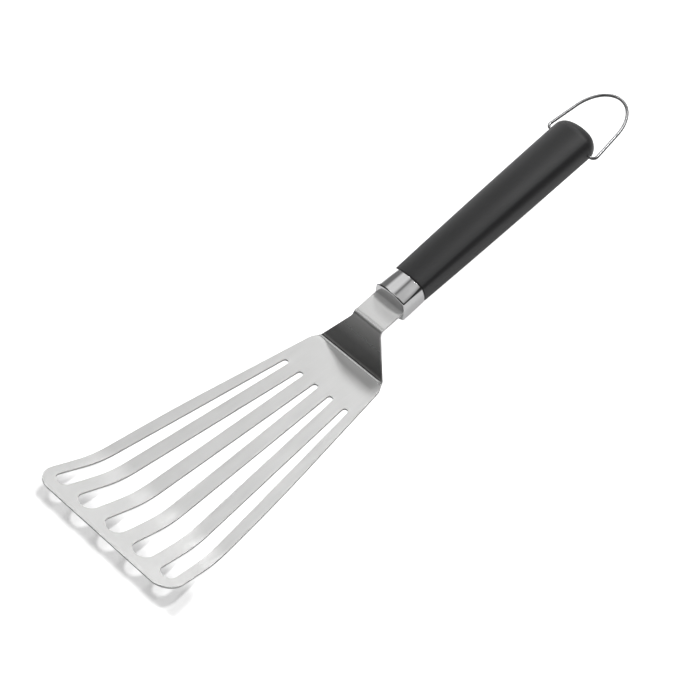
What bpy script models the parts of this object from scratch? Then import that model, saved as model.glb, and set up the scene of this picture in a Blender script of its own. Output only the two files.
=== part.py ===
"""Griddle spatula: a slotted, bent steel blade, a chromed ferrule, a moulded handle and a wire bail.

Metres, +Z up. The blade lies flat on z = 0 with its front towards -Y, the handle rises towards +Y,
and the object is mirror symmetric about x = 0. The origin is under the middle of the whole object.
"""

from math import acos, asin, atan2, ceil, cos, hypot, pi, radians, sin, tan

import bmesh
import bpy
from mathutils import Matrix, Vector

# General
GAP = 0.0003  # clearance kept between touching pieces
PARTS_NAME = "griddle_spatula"
CUTTERS_NAME = "cutters"

# Sheet of the blade, riser, strip and tang: one stamping, bent at the knee, the heel and the shoulder
SHEET = 0.0015  # thickness
FLAT_LENGTH = 0.1705  # from the heel to the virtual corner of the knee
LIP_LENGTH = 0.0465  # from that corner to the front edge
LIP_ANGLE = radians(21.0)
LIP_RADIUS = 0.068  # of the soft bend at the knee
RISER_LENGTH = 0.0300  # from the heel to the shoulder
RISER_ANGLE = radians(59.8)
BEND_RADIUS = 0.0028  # of the sheet's middle at the heel and the shoulder
STRIP_LENGTH = 0.0188  # from the shoulder to the ferrule's face
HANDLE_ANGLE = radians(8.7)  # the strip, the tang and the handle rise this much

# Blade outline, as half widths on the flat pattern
FRONT_HALF_WIDTH = 0.0631  # at the virtual front corner
WAIST_HALF_WIDTH = 0.0499  # where the sides change direction
WAIST_FROM_HEEL = 0.1124
HEEL_HALF_WIDTH = 0.0317
HEEL_CORNER_AHEAD = 0.0059  # the side turns in this far ahead of the heel
FRONT_CORNER_RADIUS = 0.0135
WAIST_RADIUS = 1.5
HEEL_CORNER_RADIUS = 0.012
STRIP_HALF_WIDTH = 0.0125
SHOULDER_CORNER_BEHIND = 0.0266  # where the riser has narrowed to the strip, past the heel
SHOULDER_CORNER_RADIUS = 0.008

# Ground front edge
EDGE_GRIND_WIDTH = 0.0022
EDGE_GRIND_DEPTH = 0.0005

# Slots: a middle one, and two on each side that fan out towards the front
SLOT_REAR_FROM_HEEL = 0.0325  # centre of each slot's rear end
SLOT_FRONT_FROM_EDGE = 0.015  # centre of each slot's front end to the front edge
SLOT_REAR_RADIUS = 0.0021
SLOT_REAR_PITCH = 0.01385
SLOT_FRONT_X = (0.0, 0.0253, 0.0484)
SLOT_FRONT_RADII = (0.0073, 0.0074, 0.0056)

# Tang, inside the handle
TANG_NECK = 0.0012  # the strip's full width goes this far into the ferrule
TANG_HALF_WIDTH = 0.0068
TANG_LENGTH = 0.105  # from the ferrule's face
TANG_ROOT_RADIUS = 0.001
TANG_END_RADIUS = 0.0025

# Ferrule: a hollow metal collar with crowned faces
FERRULE_SIDE = 0.001  # metal beside the strip
FERRULE_HALF_HEIGHT = 0.0105
FERRULE_CORNER_RADIUS = 0.0015
FERRULE_LENGTH = 0.0184
FERRULE_WALL = 0.0012
FERRULE_FACE_WALL = 0.0016
FERRULE_LEAN = radians(10.0)  # the face leans back from square
FERRULE_RIM_RADIUS = 0.0006
FERRULE_REAR_RIM_RADIUS = 0.0004
SIDE_CROWN = radians(15.0)  # half the turn of each side's arc
TOP_CROWN = radians(24.0)  # half the turn of the top's and the bottom's arc
LEAST_CORNER_RADIUS = 0.0005  # left when a section is drawn in

# Grip: a soft skin moulded over a rigid core
GRIP_LENGTH = 0.1619
GRIP_FRONT_CORNER_RADIUS = 0.0036
GRIP_MIDDLE_SHARE = 0.5  # the middle section lies at this share of the length before the dome
GRIP_MIDDLE_HALF_WIDTH = 0.0153
GRIP_MIDDLE_HALF_HEIGHT = 0.0117
GRIP_MIDDLE_CORNER_RADIUS = 0.0068
BUTT_HALF_WIDTH = 0.0164
BUTT_HALF_HEIGHT = 0.0114
BUTT_CORNER_RADIUS = 0.0076
BUTT_DOME = 0.010  # length of the rounded end
GRIP_WALL = 0.0024
GRIP_RIM_RADIUS = 0.0006

# Core: a hollow moulding with a front wall, bosses for the pins and a solid end for the bail
CORE_WALL = 0.0021
CORE_FRONT_WALL = 0.003
CORE_SPIGOT_CHAMFER = 0.0006
CORE_END_BLOCK = 0.018  # solid length at the butt
BOSS_RADIUS = 0.0042

# Pins through the core and the tang
PIN_RADIUS = 0.0015
FRONT_PIN_STATION = 0.038  # from the ferrule's face
REAR_PIN_FROM_TANG_END = 0.019

# Bail: a wire loop whose feet turn in side holes near the butt
BAIL_WIRE_RADIUS = 0.0011
BAIL_FROM_BUTT = 0.0121  # hinge line to the end of the grip
BAIL_BELOW_AXIS = 0.0003
BAIL_REACH = 0.048  # hinge line to the middle of the bow
BAIL_SIDE_GAP = 0.004  # between the grip and the wire's arm
BAIL_BOW_HALF_WIDTH = 0.0188  # of the ellipse that the bow follows
BAIL_BOW_RISE = 0.0277  # from that ellipse's centre to the middle of the bow
BAIL_CORNER_RADIUS = 0.003
BAIL_FOOT_DEPTH = 0.0045  # how far each foot goes into the core
BAIL_DROOP = radians(0.6)  # the loop hangs this far below the handle's line
GRIP_HOLE_RADIUS = 0.0018

# Facets
SIDE_STEPS = 3
CORNER_STEPS = 5
TOP_STEPS = 5
KNEE_FACETS = 7
BEND_FACETS = 5
BOW_STEPS = 18
SLOT_END_STEPS = 10
ROUND_STEPS = 20
LENGTH_STEPS = 8
DOME_STEPS = 8
DOME_END = radians(84)  # the dome is capped by a small flat face here
DOME_POWER = 0.8  # below 1 makes the dome fuller than an ellipse
RIM_STEPS = 3
REAR_RIM_STEPS = 2
LEAST_ARC_STEPS = 3
LEAST_TURN = radians(0.1)  # a corner that turns less stays a point
ARC_STEP = radians(11.5)
WIRE_RESOLUTION = 3
SMOOTH_ANGLE = radians(28)
CUT_MARGIN = 0.004  # how far a cutter runs past what it cuts
WELD = 1e-6

# Joined values
FERRULE_HALF_WIDTH = STRIP_HALF_WIDTH + FERRULE_SIDE
GRIP_START = FERRULE_LENGTH + GAP
GRIP_END = GRIP_START + GRIP_LENGTH
CORE_START = FERRULE_FACE_WALL + GAP
CORE_INSET = GRIP_WALL + GAP
CORE_END = GRIP_END - CORE_INSET
CORE_HOLLOW_START = CORE_START + CORE_FRONT_WALL
BAIL_STATION = GRIP_END - BAIL_FROM_BUTT
PIN_STATIONS = {"front": FRONT_PIN_STATION, "rear": TANG_LENGTH - REAR_PIN_FROM_TANG_END}


# Objects and materials


def clear_scene():
    for item in list(bpy.data.objects):
        bpy.data.objects.remove(item, do_unlink=True)


def new_collection(name):
    group = bpy.data.collections.new(name)
    bpy.context.scene.collection.children.link(group)
    return group


def new_material(name, colour, roughness, metallic):
    material = bpy.data.materials.new(name)
    material.use_nodes = True
    shader = material.node_tree.nodes["Principled BSDF"]
    shader.inputs["Base Color"].default_value = (*colour, 1.0)
    shader.inputs["Roughness"].default_value = roughness
    shader.inputs["Metallic"].default_value = metallic
    material.diffuse_color = (*colour, 1.0)
    return material


def new_part(name, mesh, group, material, parent):
    mesh.name = name
    mesh.materials.clear()
    mesh.materials.append(material)
    mesh.shade_smooth()
    mesh.set_sharp_from_angle(angle=SMOOTH_ANGLE)
    item = bpy.data.objects.new(name, mesh)
    item.parent = parent
    group.objects.link(item)
    return item


def new_empty(name, group, parent=None, location=(0, 0, 0), tilt=0.0):
    item = bpy.data.objects.new(name, None)
    item.empty_display_size = 0.01
    item.parent = parent
    item.location = location
    item.rotation_euler = (tilt, 0, 0)
    group.objects.link(item)
    return item


def cut(part, name, mesh, cutters, operation="DIFFERENCE"):
    """Give the part a Boolean with a tool that shares its parent's frame."""
    tool = bpy.data.objects.new(name, mesh)
    tool.parent = part.parent
    tool.hide_render = True
    tool.display_type = "WIRE"
    cutters.objects.link(tool)
    modifier = part.modifiers.new(name, "BOOLEAN")
    modifier.operation = operation
    modifier.solver = "EXACT"
    modifier.object = tool
    return tool


def evaluated_mesh(item):
    """A copy of the object's mesh as evaluated, welded where a curve's caps meet its sides."""
    depsgraph = bpy.context.evaluated_depsgraph_get()
    mesh = bpy.data.meshes.new_from_object(item.evaluated_get(depsgraph))
    bm = bmesh.new()
    bm.from_mesh(mesh)
    bmesh.ops.remove_doubles(bm, verts=bm.verts, dist=WELD)
    bmesh.ops.recalc_face_normals(bm, faces=bm.faces)
    bm.to_mesh(mesh)
    bm.free()
    return mesh


def mesh_of_curve(curve, group):
    drawn = bpy.data.objects.new(curve.name, curve)
    group.objects.link(drawn)
    mesh = evaluated_mesh(drawn)
    bpy.data.objects.remove(drawn, do_unlink=True)
    bpy.data.curves.remove(curve)
    return mesh


def mesh_of_bmesh(bm, name):
    bmesh.ops.recalc_face_normals(bm, faces=bm.faces)
    mesh = bpy.data.meshes.new(name)
    bm.to_mesh(mesh)
    bm.free()
    return mesh


def box(name, low, high):
    bm = bmesh.new()
    size = [top - bottom for bottom, top in zip(low, high)]
    middle = [(top + bottom) / 2 for bottom, top in zip(low, high)]
    place = Matrix.Translation(middle) @ Matrix.Diagonal((*size, 1.0))
    bmesh.ops.create_cube(bm, size=1.0, matrix=place)
    return mesh_of_bmesh(bm, name)


def rod(name, radius, low, high, centre=(0.0, 0.0, 0.0), across=False):
    """A cylinder from low to high along Z, or along X if across, moved by centre."""
    bm = bmesh.new()
    turn = Matrix.Rotation(pi / 2, 4, "Y") if across else Matrix.Identity(4)
    place = Matrix.Translation(centre) @ turn @ Matrix.Translation((0, 0, (low + high) / 2))
    bmesh.ops.create_cone(
        bm,
        cap_ends=True,
        segments=ROUND_STEPS,
        radius1=radius,
        radius2=radius,
        depth=high - low,
        matrix=place,
    )
    return mesh_of_bmesh(bm, name)


# Outlines in the plane


def arc_through(before, corner, after, radius):
    """Arc start, centre and signed turn of a corner rounded to a radius, or None if it is straight."""
    to_before = (before - corner).normalized()
    to_after = (after - corner).normalized()
    turn = pi - to_before.angle(to_after)
    if radius <= 0 or turn < LEAST_TURN:
        return None
    start = corner + to_before * (radius * tan(turn / 2))
    centre = corner + (to_before + to_after).normalized() * (radius / cos(turn / 2))
    swing = turn if to_before.cross(to_after) < 0 else -turn
    return start, centre, swing


def arc_points(start, centre, swing, steps):
    return [centre + Matrix.Rotation(swing * k / steps, 2) @ (start - centre) for k in range(steps + 1)]


def rounded(corners):
    """An outline through corners (x, y, radius), each turned into an arc of its radius."""
    points = []
    for i, (x, y, radius) in enumerate(corners):
        corner = Vector((x, y))
        before = Vector(corners[i - 1][:2])
        after = Vector(corners[(i + 1) % len(corners)][:2])
        arc = arc_through(before, corner, after, radius)
        if arc:
            points += arc_points(*arc, max(LEAST_ARC_STEPS, ceil(abs(arc[2]) / ARC_STEP)))
        else:
            points.append(corner)
    return points


def circle(centre, radius):
    angles = [2 * pi * k / ROUND_STEPS for k in range(ROUND_STEPS)]
    return [Vector((centre[0] + radius * cos(a), centre[1] + radius * sin(a))) for a in angles]


def tapered_slot(rear, rear_radius, front, front_radius):
    """Two circles of unlike radius, joined by their outer tangents."""
    along = Vector(front) - Vector(rear)
    heading = atan2(along.y, along.x)
    lean = asin((front_radius - rear_radius) / along.length)
    ends = (
        (front, front_radius, heading, pi / 2 + lean),
        (rear, rear_radius, heading + pi, pi / 2 - lean),
    )
    points = []
    for centre, radius, middle, half in ends:
        for k in range(SLOT_END_STEPS + 1):
            angle = middle - half + 2 * half * k / SLOT_END_STEPS
            points.append(Vector(centre) + radius * Vector((cos(angle), sin(angle))))
    return points


def slot_outlines(front_edge):
    outlines = []
    for i, (front_x, front_radius) in enumerate(zip(SLOT_FRONT_X, SLOT_FRONT_RADII)):
        for side in (1, -1) if i else (1,):
            rear = (side * i * SLOT_REAR_PITCH, -SLOT_REAR_FROM_HEEL)
            front = (side * front_x, front_edge + SLOT_FRONT_FROM_EDGE)
            outlines.append(tapered_slot(rear, SLOT_REAR_RADIUS, front, front_radius))
    return outlines


def blade_outline(front, face, end):
    """The flat pattern's outer outline: the right half, then its mirror image."""
    neck = face + TANG_NECK
    right = [
        (FRONT_HALF_WIDTH, front, FRONT_CORNER_RADIUS),
        (WAIST_HALF_WIDTH, -WAIST_FROM_HEEL, WAIST_RADIUS),
        (HEEL_HALF_WIDTH, -HEEL_CORNER_AHEAD, HEEL_CORNER_RADIUS),
        (STRIP_HALF_WIDTH, SHOULDER_CORNER_BEHIND, SHOULDER_CORNER_RADIUS),
        (STRIP_HALF_WIDTH, neck, 0.0),
        (TANG_HALF_WIDTH, neck, TANG_ROOT_RADIUS),
        (TANG_HALF_WIDTH, end, TANG_END_RADIUS),
    ]
    left = [(-x, y, radius) for x, y, radius in reversed(right)]
    return rounded(right + left)


def plate(name, outlines, thickness, group):
    """A flat plate: a filled 2D curve of one outer outline and its holes, extruded both ways."""
    curve = bpy.data.curves.new(name, "CURVE")
    curve.dimensions = "2D"
    curve.fill_mode = "BOTH"
    curve.extrude = thickness / 2
    for outline in outlines:
        spline = curve.splines.new("POLY")
        spline.points.add(len(outline) - 1)
        for point, place in zip(spline.points, outline):
            point.co = (place.x, place.y, 0.0, 1.0)
        spline.use_cyclic_u = True
    return mesh_of_curve(curve, group)


# The bent sheet


def profile_corners():
    """The virtual corners of the sheet's middle line, as (y, z) from the heel's corner."""
    front = Vector((-cos(LIP_ANGLE), sin(LIP_ANGLE))) * LIP_LENGTH
    up = Vector((cos(RISER_ANGLE), sin(RISER_ANGLE))) * RISER_LENGTH
    back = Vector((cos(HANDLE_ANGLE), sin(HANDLE_ANGLE)))
    knee = Vector((-FLAT_LENGTH, 0.0))
    face = up + back * STRIP_LENGTH
    return {
        "front": knee + front,
        "knee": knee,
        "heel": Vector((0.0, 0.0)),
        "shoulder": up,
        "face": face,
        "end": face + back * TANG_LENGTH,
    }


def bend_stations():
    """Where the middle line turns: (distance along the flat pattern from the heel, point, normal).

    Each normal is the mitre of the two facets that meet there, so a point at a height above the
    middle keeps that height over both of them.
    """
    corners = profile_corners()
    path = [corners["front"]]
    bends = (
        ("front", "knee", "heel", LIP_RADIUS, KNEE_FACETS),
        ("knee", "heel", "shoulder", BEND_RADIUS, BEND_FACETS),
        ("heel", "shoulder", "end", BEND_RADIUS, BEND_FACETS),
    )
    for before, corner, after, radius, facets in bends:
        arc = arc_through(corners[before], corners[corner], corners[after], radius)
        path += arc_points(*arc, facets)
    path.append(corners["end"])
    along = [0.0]
    for one, other in zip(path, path[1:]):
        along.append(along[-1] + (other - one).length)
    heel_start = 1 + KNEE_FACETS + 1
    heel = (along[heel_start] + along[heel_start + BEND_FACETS]) / 2
    stations = []
    for i, point in enumerate(path):
        into = (point - path[i - 1]).normalized() if i else (path[1] - point).normalized()
        out_of = (path[i + 1] - point).normalized() if i < len(path) - 1 else into
        mean = (into + out_of).normalized()
        stations.append((along[i] - heel, point, Vector((-mean.y, mean.x)) / mean.dot(into)))
    return stations


def fold(mesh, stations):
    """Bend a flat plate (x across, y along from the heel, z its thickness) into the profile."""
    bm = bmesh.new()
    bm.from_mesh(mesh)
    for distance, _, _ in stations[1:-1]:
        everything = [*bm.verts, *bm.edges, *bm.faces]
        bmesh.ops.bisect_plane(
            bm, geom=everything, dist=WELD, plane_co=(0, distance, 0), plane_no=(0, 1, 0)
        )
    for vertex in bm.verts:
        distance, height = vertex.co.y, vertex.co.z
        i = 0
        while i < len(stations) - 2 and distance > stations[i + 1][0]:
            i += 1
        start, start_point, start_normal = stations[i]
        end, end_point, end_normal = stations[i + 1]
        share = (distance - start) / (end - start)
        point = start_point.lerp(end_point, share) + height * start_normal.lerp(end_normal, share)
        vertex.co = (vertex.co.x, point.x, point.y)
    bm.to_mesh(mesh)
    bm.free()


def make_blade(parts, cutters, material, parent):
    stations = bend_stations()
    front, end = stations[0][0], stations[-1][0]
    face = end - TANG_LENGTH
    holes = [circle((0.0, face + station), PIN_RADIUS + GAP) for station in PIN_STATIONS.values()]
    outlines = [blade_outline(front, face, end), *slot_outlines(front), *holes]
    blank = new_part("blank", plate("blank", outlines, SHEET, parts), parts, material, None)
    # The grind takes a long wedge off the top of the front edge.
    wedge = box(
        "edge_grind",
        (-FRONT_HALF_WIDTH - CUT_MARGIN, -CUT_MARGIN, 0.0),
        (FRONT_HALF_WIDTH + CUT_MARGIN, 2 * CUT_MARGIN, CUT_MARGIN),
    )
    grind = cut(blank, "edge_grind", wedge, cutters)
    grind.rotation_euler = (atan2(EDGE_GRIND_DEPTH, EDGE_GRIND_WIDTH), 0, 0)
    grind.location = (0, front, SHEET / 2 - EDGE_GRIND_DEPTH)
    mesh = evaluated_mesh(blank)
    bpy.data.objects.remove(blank, do_unlink=True)
    bpy.data.objects.remove(grind, do_unlink=True)
    fold(mesh, stations)
    blade = new_part("blade", mesh, parts, material, parent)
    blade.location = (0, 0, SHEET / 2)
    return blade


# Lofts along the handle's line: x across, y along from the ferrule's face, z up from the tang


def crowned_section(half_width, half_height, corner_radius):
    """A closed section of crowned sides, crowned top and bottom, and round corners, as (x, z) points."""
    side, top = tan(SIDE_CROWN / 2), tan(TOP_CROWN / 2)
    across, up = half_width - corner_radius, half_height - corner_radius
    corner_z = (up - across * top) / (1 - side * top)
    corner_x = across - corner_z * side
    side_radius = corner_z / sin(SIDE_CROWN) + corner_radius
    top_radius = corner_x / sin(TOP_CROWN) + corner_radius
    quarter = []
    for k in range(SIDE_STEPS):
        angle = SIDE_CROWN * k / SIDE_STEPS
        quarter.append((half_width - side_radius * (1 - cos(angle)), side_radius * sin(angle)))
    swing = pi / 2 - TOP_CROWN - SIDE_CROWN
    for k in range(CORNER_STEPS):
        angle = SIDE_CROWN + swing * k / CORNER_STEPS
        quarter.append((corner_x + corner_radius * cos(angle), corner_z + corner_radius * sin(angle)))
    for k in range(TOP_STEPS + 1):
        angle = TOP_CROWN * (1 - k / TOP_STEPS)
        quarter.append((top_radius * sin(angle), half_height - top_radius * (1 - cos(angle))))
    upper = quarter + [(-x, z) for x, z in reversed(quarter[:-1])]
    return upper + [(x, -z) for x, z in reversed(upper[1:-1])]


def loft(name, rings, lean_until=None):
    """A closed solid through rings (y, section) of equal point counts, capped at its two ends.

    Rings ahead of lean_until lean back with the ferrule's face.
    """
    bm = bmesh.new()
    before = None
    for y, section in rings:
        lean = tan(FERRULE_LEAN) if lean_until is not None and y < lean_until else 0.0
        ring = [bm.verts.new((x, y + z * lean, z)) for x, z in section]
        if before is None:
            bm.faces.new(ring)
        else:
            for k in range(len(ring)):
                bm.faces.new((before[k - 1], before[k], ring[k], ring[k - 1]))
        before = ring
    bm.faces.new(before)
    return mesh_of_bmesh(bm, name)


def rim(radius, steps):
    """(distance from the end, inset) along an edge rounded to a quarter circle, from the end on."""
    angles = [pi / 2 * k / steps for k in range(steps + 1)]
    return [(radius * (1 - cos(angle)), radius * (1 - sin(angle))) for angle in angles]


def ferrule_section(inset=0.0):
    radius = max(FERRULE_CORNER_RADIUS - inset, LEAST_CORNER_RADIUS)
    return crowned_section(FERRULE_HALF_WIDTH - inset, FERRULE_HALF_HEIGHT - inset, radius)


def grip_size(station):
    """Half width, half height and corner radius of the grip at a distance from the ferrule's face."""
    front = (FERRULE_HALF_WIDTH, FERRULE_HALF_HEIGHT, GRIP_FRONT_CORNER_RADIUS)
    middle = (GRIP_MIDDLE_HALF_WIDTH, GRIP_MIDDLE_HALF_HEIGHT, GRIP_MIDDLE_CORNER_RADIUS)
    butt = (BUTT_HALF_WIDTH, BUTT_HALF_HEIGHT, BUTT_CORNER_RADIUS)
    t = (station - GRIP_START) / (GRIP_LENGTH - BUTT_DOME)
    m = GRIP_MIDDLE_SHARE
    weights = ((t - m) * (t - 1) / m, t * (1 - t) / (m * (1 - m)), t * (t - m) / (1 - m))
    return [sum(w * v for w, v in zip(weights, values)) for values in zip(front, middle, butt)]


def grip_section(station, inset=0.0, share=1.0):
    half_width, half_height, radius = grip_size(station)
    left_radius = max(radius - inset, LEAST_CORNER_RADIUS)
    return crowned_section((half_width - inset) * share, (half_height - inset) * share, left_radius * share)


def grip_rings(start, end, inset, rim_radius=0.0, dome=0.0):
    """Rings of the grip's form drawn in by inset, with an optional round rim and domed end."""
    edge = rim(rim_radius, RIM_STEPS)[:-1] if rim_radius else []
    rings = [(start + y, grip_section(start, inset + d)) for y, d in edge]
    first, last = start + rim_radius, end - dome
    for k in range(LENGTH_STEPS + 1):
        y = first + (last - first) * k / LENGTH_STEPS
        rings.append((y, grip_section(y, inset)))
    for k in range(1, DOME_STEPS + 1 if dome else 0):
        angle = DOME_END * k / DOME_STEPS
        rings.append((last + dome * sin(angle), grip_section(last, inset, cos(angle) ** DOME_POWER)))
    return rings


def make_ferrule(parts, cutters, material, axis):
    rings = [(y, ferrule_section(inset)) for y, inset in rim(FERRULE_RIM_RADIUS, RIM_STEPS)]
    rear = reversed(rim(FERRULE_REAR_RIM_RADIUS, REAR_RIM_STEPS))
    rings += [(FERRULE_LENGTH - y, ferrule_section(inset)) for y, inset in rear]
    outside = loft("ferrule", rings, lean_until=FERRULE_LENGTH / 2)
    ferrule = new_part("ferrule", outside, parts, material, axis)
    inside = ferrule_section(FERRULE_WALL)
    rings = [(FERRULE_FACE_WALL, inside), (FERRULE_LENGTH + CUT_MARGIN, inside)]
    cut(ferrule, "ferrule_hollow", loft("ferrule_hollow", rings, lean_until=FERRULE_LENGTH / 2), cutters)
    slot = box(
        "strip_slot",
        (-STRIP_HALF_WIDTH - GAP, -CUT_MARGIN, -SHEET / 2 - GAP),
        (STRIP_HALF_WIDTH + GAP, FERRULE_FACE_WALL + CUT_MARGIN, SHEET / 2 + GAP),
    )
    cut(ferrule, "strip_slot", slot, cutters)
    return ferrule


def make_core(parts, cutters, material, axis):
    spigot = ferrule_section(FERRULE_WALL + GAP)
    rings = [(CORE_START, spigot), (FERRULE_LENGTH - CORE_SPIGOT_CHAMFER, spigot)]
    rings += grip_rings(FERRULE_LENGTH, CORE_END, CORE_INSET, dome=BUTT_DOME - CORE_INSET)
    outside = loft("handle_core", rings, lean_until=FERRULE_LENGTH / 2)
    core = new_part("handle_core", outside, parts, material, axis)
    inset = CORE_INSET + CORE_WALL
    rings = [(CORE_HOLLOW_START, grip_section(GRIP_START, inset))]
    rings += grip_rings(GRIP_START, CORE_END - CORE_END_BLOCK, inset)
    cut(core, "core_hollow", loft("core_hollow", rings), cutters)
    tang = SHEET / 2 + GAP
    for name, station in PIN_STATIONS.items():
        outside = grip_size(station)[1]
        top = outside - CORE_INSET - CORE_WALL / 2
        centre = (0, station, 0)
        cut(core, f"boss_{name}_upper", rod("boss", BOSS_RADIUS, tang, top, centre), cutters, "UNION")
        cut(core, f"boss_{name}_lower", rod("boss", BOSS_RADIUS, -top, -tang, centre), cutters, "UNION")
        hole = rod("pin_hole", PIN_RADIUS + GAP, -outside, outside, centre)
        cut(core, f"pin_hole_{name}", hole, cutters)
    slot = box(
        "tang_slot",
        (-TANG_HALF_WIDTH - GAP, CORE_START - CUT_MARGIN, -tang),
        (TANG_HALF_WIDTH + GAP, CORE_HOLLOW_START + CUT_MARGIN, tang),
    )
    cut(core, "tang_slot", slot, cutters)
    bottom = foot_end() - GAP
    for name, side in (("right", 1), ("left", -1)):
        low, high = sorted((side * bottom, side * BUTT_HALF_WIDTH))
        centre = (0, BAIL_STATION, -BAIL_BELOW_AXIS)
        hole = rod("foot_hole", BAIL_WIRE_RADIUS + GAP, low, high, centre, across=True)
        cut(core, f"foot_hole_{name}", hole, cutters)
    return core


def make_grip(parts, cutters, material, axis):
    rings = grip_rings(GRIP_START, GRIP_END, 0.0, rim_radius=GRIP_RIM_RADIUS, dome=BUTT_DOME)
    grip = new_part("handle_grip", loft("handle_grip", rings), parts, material, axis)
    rings = [(GRIP_START - CUT_MARGIN, grip_section(GRIP_START, GRIP_WALL))]
    rings += grip_rings(GRIP_START, CORE_END + GAP, GRIP_WALL, dome=BUTT_DOME - GRIP_WALL)
    cut(grip, "grip_hollow", loft("grip_hollow", rings), cutters)
    for name, side in (("right", 1), ("left", -1)):
        low, high = sorted((side * BUTT_HALF_WIDTH / 2, side * (BUTT_HALF_WIDTH + CUT_MARGIN)))
        centre = (0, BAIL_STATION, -BAIL_BELOW_AXIS)
        hole = rod("grip_hole", GRIP_HOLE_RADIUS, low, high, centre, across=True)
        cut(grip, f"grip_hole_{name}", hole, cutters)
    return grip


def make_pins(parts, material, axis):
    for name, station in PIN_STATIONS.items():
        reach = grip_size(station)[1] - CORE_INSET - GAP
        pin = new_part(f"tang_pin_{name}", rod("pin", PIN_RADIUS, -reach, reach), parts, material, axis)
        pin.location = (0, station, 0)


# The bail, in its hinge's frame: x along the hinge line, y out past the butt


def foot_end():
    """How far from the middle the inner end of each of the bail's feet stays."""
    return grip_size(BAIL_STATION)[0] - CORE_INSET - BAIL_FOOT_DEPTH


def bail_path():
    """The wire's middle line: a foot, a corner, an arm that leans in, the bow, and the same back."""
    corner_x = grip_size(BAIL_STATION)[0] + BAIL_SIDE_GAP + BAIL_WIRE_RADIUS
    bow_y = BAIL_REACH - BAIL_BOW_RISE
    across, along = corner_x / BAIL_BOW_HALF_WIDTH, bow_y / BAIL_BOW_RISE
    touch = acos(1 / hypot(across, along)) - atan2(along, across)
    bow = []
    for k in range(BOW_STEPS + 1):
        angle = touch + (pi - 2 * touch) * k / BOW_STEPS
        bow.append((BAIL_BOW_HALF_WIDTH * cos(angle), bow_y + BAIL_BOW_RISE * sin(angle), 0.0))
    right = [(foot_end(), 0.0, 0.0), (corner_x, 0.0, BAIL_CORNER_RADIUS)]
    left = [(-x, y, radius) for x, y, radius in reversed(right)]
    return rounded(right + bow + left)


def make_bail(parts, material, hinge):
    curve = bpy.data.curves.new("bail", "CURVE")
    curve.dimensions = "3D"
    curve.bevel_depth = BAIL_WIRE_RADIUS
    curve.bevel_resolution = WIRE_RESOLUTION
    curve.use_fill_caps = True
    path = bail_path()
    spline = curve.splines.new("POLY")
    spline.points.add(len(path) - 1)
    for point, place in zip(spline.points, path):
        point.co = (place.x, place.y, 0.0, 1.0)
    return new_part("bail", mesh_of_curve(curve, parts), parts, material, hinge)


def middle_of(parts):
    """The y in the middle of all the parts, as evaluated."""
    depsgraph = bpy.context.evaluated_depsgraph_get()
    reach = []
    for item in parts.objects:
        if item.type == "MESH":
            shown = item.evaluated_get(depsgraph)
            reach += [(shown.matrix_world @ vertex.co).y for vertex in shown.data.vertices]
    return (min(reach) + max(reach)) / 2


def main():
    clear_scene()
    parts = new_collection(PARTS_NAME)
    cutters = new_collection(CUTTERS_NAME)
    steel = new_material("blade_steel", (0.62, 0.62, 0.61), 0.28, 1.0)
    chrome = new_material("ferrule_chrome", (0.75, 0.75, 0.76), 0.12, 1.0)
    plastic = new_material("core_plastic", (0.04, 0.04, 0.042), 0.5, 0.0)
    rubber = new_material("grip_rubber", (0.022, 0.022, 0.024), 0.55, 0.0)
    pin_steel = new_material("pin_steel", (0.55, 0.55, 0.56), 0.35, 1.0)
    wire = new_material("bail_wire", (0.7, 0.7, 0.71), 0.2, 1.0)

    root = new_empty("spatula_origin", parts)
    make_blade(parts, cutters, steel, root)
    face = profile_corners()["face"]
    axis = new_empty("handle_axis", parts, root, (0, face.x, face.y + SHEET / 2), HANDLE_ANGLE)
    make_ferrule(parts, cutters, chrome, axis)
    make_core(parts, cutters, plastic, axis)
    make_grip(parts, cutters, rubber, axis)
    make_pins(parts, pin_steel, axis)
    hinge_place = (0, BAIL_STATION, -BAIL_BELOW_AXIS)
    hinge = new_empty("bail_hinge", parts, axis, hinge_place, -BAIL_DROOP)
    make_bail(parts, wire, hinge)
    root.location.y = -middle_of(parts)


main()
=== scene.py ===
"""Looks of the griddle spatula: finer skins for blade, ferrule, grip and bail, finishes, light and camera.

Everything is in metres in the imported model's frame: the blade lies flat on z = 0 with its front
towards -Y, the handle rises towards +Y, and the object is mirror symmetric about x = 0.
"""

from math import acos, asin, atan2, ceil, cos, hypot, pi, radians, sin, tan

import bmesh
import bpy
from mathutils import Matrix, Vector


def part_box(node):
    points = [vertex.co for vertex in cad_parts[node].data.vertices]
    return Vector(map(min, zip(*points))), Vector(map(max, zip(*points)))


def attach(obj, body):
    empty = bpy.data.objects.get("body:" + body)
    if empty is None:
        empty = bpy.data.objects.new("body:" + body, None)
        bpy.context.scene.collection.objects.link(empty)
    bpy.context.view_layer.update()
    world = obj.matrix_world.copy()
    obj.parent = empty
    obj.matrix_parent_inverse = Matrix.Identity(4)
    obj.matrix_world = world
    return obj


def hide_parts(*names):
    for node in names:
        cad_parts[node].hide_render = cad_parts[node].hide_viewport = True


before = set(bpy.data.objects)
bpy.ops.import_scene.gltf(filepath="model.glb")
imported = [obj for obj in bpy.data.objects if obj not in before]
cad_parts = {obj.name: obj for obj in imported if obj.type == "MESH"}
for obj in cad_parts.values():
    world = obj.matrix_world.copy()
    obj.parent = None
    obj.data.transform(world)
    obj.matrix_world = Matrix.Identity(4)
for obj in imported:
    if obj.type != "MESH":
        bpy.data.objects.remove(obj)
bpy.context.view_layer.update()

# Blade, riser, strip and tang, with the sizes of the CAD's bent sheet
SHEET = 0.0015
FLAT_LENGTH = 0.1705
LIP_LENGTH = 0.0465
LIP_ANGLE = radians(21.0)
LIP_RADIUS = 0.068
RISER_LENGTH = 0.0300
RISER_ANGLE = radians(59.8)
BEND_RADIUS = 0.0028
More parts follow.
